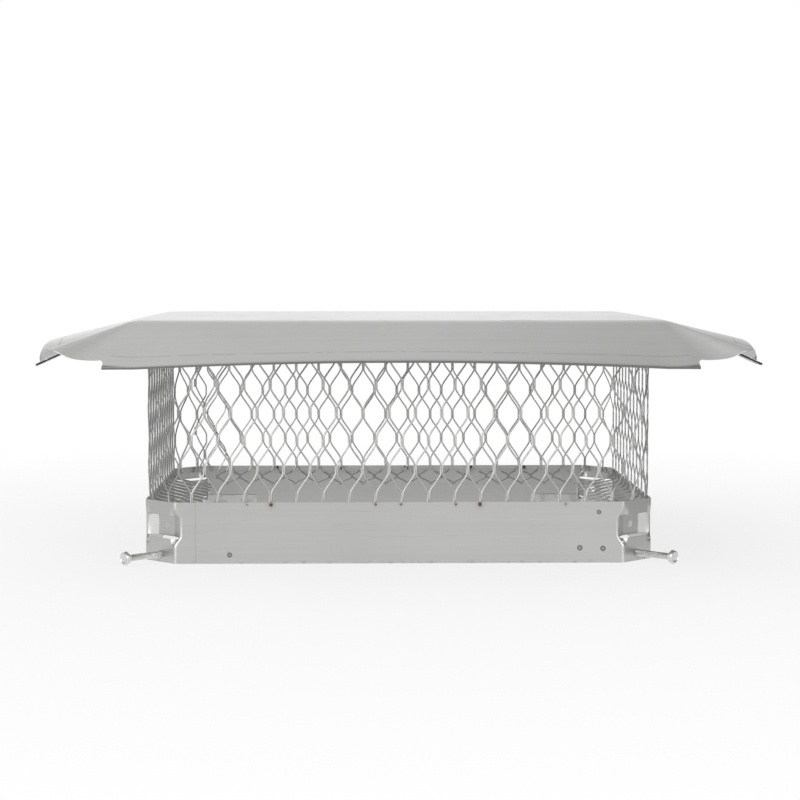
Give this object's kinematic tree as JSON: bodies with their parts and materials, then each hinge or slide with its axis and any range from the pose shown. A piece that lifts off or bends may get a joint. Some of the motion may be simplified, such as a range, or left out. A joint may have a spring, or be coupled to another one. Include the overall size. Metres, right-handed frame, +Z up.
{
  "type": "chimney cap",
  "caption": "Rectangular chimney cap: a folded sheet lid over an expanded metal screen, on a band that slips over a flue and is clamped by corner bolts.",
  "frame": {"origin": "middle of the band's lower edge, which the cap stands on", "axes": "+Z up, +X along the cap's length, -Y towards the front wall with the lap seam"},
  "size_m": [0.646, 0.528, 0.2192],
  "materials": {
    "lid_sheet": "satin stainless sheet with a fine brushed grain along the length",
    "screen_metal": "bright raised expanded stainless steel",
    "band_sheet": "satin stainless sheet",
    "bracket_steel": "mill finish stainless strip",
    "nut_steel": "plain stainless steel",
    "bolt_steel": "plain stainless steel, turned and threaded"
  },
  "bodies": {
    "cap": {"lid": "lid_sheet", "screen": "screen_metal", "band_front": "band_sheet", "band_right": "band_sheet", "band_back": "band_sheet", "band_left": "band_sheet", "band_corner_fl": "band_sheet", "band_corner_fr": "band_sheet", "band_corner_bl": "band_sheet", "band_corner_br": "band_sheet", "corner_bracket_fl": "bracket_steel", "corner_bracket_fr": "bracket_steel", "corner_bracket_bl": "bracket_steel", "corner_bracket_br": "bracket_steel", "weld_nut_fl": "nut_steel", "weld_nut_fr": "nut_steel", "weld_nut_bl": "nut_steel", "weld_nut_br": "nut_steel"},
    "bolt_fl": {"bolt_fl": "bolt_steel"},
    "bolt_fr": {"bolt_fr": "bolt_steel"},
    "bolt_bl": {"bolt_bl": "bolt_steel"},
    "bolt_br": {"bolt_br": "bolt_steel"}
  },
  "joints": [
    {"name": "bolt_slide_fl", "type": "slide", "parent": "cap", "child": "bolt_fl", "axis": [0.7071, 0.7071, 0], "range_m": [-0.005, 0.033]},
    {"name": "bolt_slide_fr", "type": "slide", "parent": "cap", "child": "bolt_fr", "axis": [-0.7071, 0.7071, 0], "range_m": [-0.005, 0.033]},
    {"name": "bolt_slide_bl", "type": "slide", "parent": "cap", "child": "bolt_bl", "axis": [0.7071, -0.7071, 0], "range_m": [-0.005, 0.033]},
    {"name": "bolt_slide_br", "type": "slide", "parent": "cap", "child": "bolt_br", "axis": [-0.7071, -0.7071, 0], "range_m": [-0.005, 0.033]}
  ]
}
